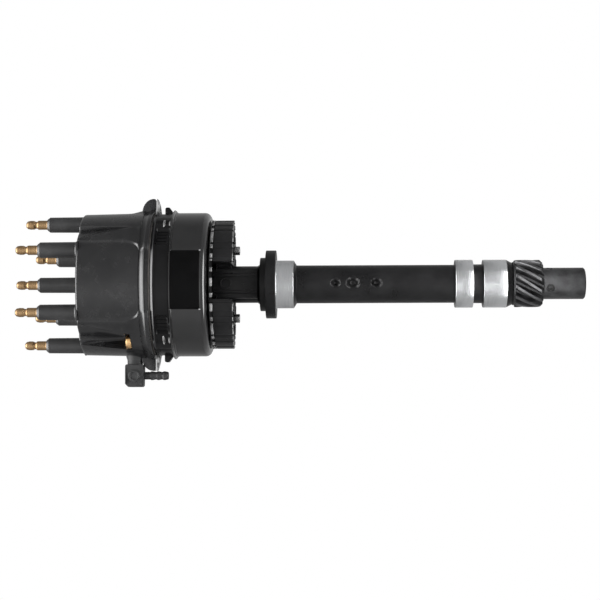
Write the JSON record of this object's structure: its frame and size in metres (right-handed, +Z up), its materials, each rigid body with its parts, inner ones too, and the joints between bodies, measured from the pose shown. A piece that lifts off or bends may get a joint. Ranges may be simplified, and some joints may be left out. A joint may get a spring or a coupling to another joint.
{
  "type": "ignition distributor",
  "caption": "Upright gear-driven ignition distributor with a long shank, hold-down flange, ribbed base, bowl and a cap of lead towers with brass terminals.",
  "frame": {"origin": "centre of the hold-down flange's underside, on the shaft's axis", "axes": "+Z up the shaft towards the cap; -Y is the side with the bare label place; the vent is at -X"},
  "size_m": [0.1263, 0.0978, 0.3804],
  "materials": {
    "cast_black": "satin black paint on a casting, bare bright aluminium on the turned pilots",
    "can_black": "gloss black",
    "adapter_black": "matt moulded black",
    "cap_black": "gloss moulded black",
    "vent_grey": "matt dark grey moulding",
    "gasket_cork": "dark sheet gasket",
    "terminal_brass": "turned brass, slightly dulled",
    "screw_gold": "yellow zinc plate",
    "screw_steel": "dark zinc plate",
    "gear_steel": "phosphated, lighter on the tooth lands",
    "shaft_steel": "ground",
    "bronze": "oiled sintered bronze",
    "seal_rubber": "matt",
    "sheet_steel": "zinc plated sheet",
    "sensor_plastic": "matt black moulding",
    "rotor_plastic": "dark red-brown moulding",
    "carbon": "pressed carbon"
  },
  "bodies": {
    "housing_assembly": {"housing": "cast_black", "upper_bushing": "bronze", "lower_bushing": "bronze", "shaft_seal": "seal_rubber", "bowl": "can_black", "base_screws": "screw_steel", "adapter_ring": "adapter_black", "cap_gasket": "gasket_cork", "distributor_cap": "cap_black", "cap_screws": "screw_gold", "lead_terminal_1": "terminal_brass", "lead_terminal_2": "terminal_brass", "lead_terminal_3": "terminal_brass", "lead_terminal_4": "terminal_brass", "lead_terminal_5": "terminal_brass", "lead_terminal_6": "terminal_brass", "coil_terminal": "terminal_brass", "vent_elbow": "vent_grey", "vent_plug": "vent_grey", "vent_barb": "vent_grey", "sensor_plate": "sheet_steel", "hall_sensor": "sensor_plastic", "sensor_screws": "screw_steel", "brush_spring": "sheet_steel"},
    "rotating_assembly": {"main_shaft": "shaft_steel", "drive_gear": "gear_steel", "roll_pin": "screw_steel", "thrust_washers": "shaft_steel", "oil_slinger": "sheet_steel", "trigger_wheel": "sheet_steel", "wheel_clip": "screw_steel", "rotor_body": "rotor_plastic", "rotor_blade": "terminal_brass", "contact_spring": "terminal_brass", "rotor_screw": "screw_steel"},
    "brush": {"carbon_brush": "carbon"}
  },
  "joints": [
    {"name": "shaft_spin", "type": "hinge", "parent": "housing_assembly", "child": "rotating_assembly", "pos_m": [0, 0, 0], "axis": [0, 0, 1], "continuous": true},
    {"name": "brush_slide", "type": "slide", "parent": "housing_assembly", "child": "brush", "axis": [0, 0, 1], "range_m": [0, 0.002], "stiffness_N_per_m": 120, "springref_m": -0.005, "deforming": ["brush_spring"]}
  ]
}
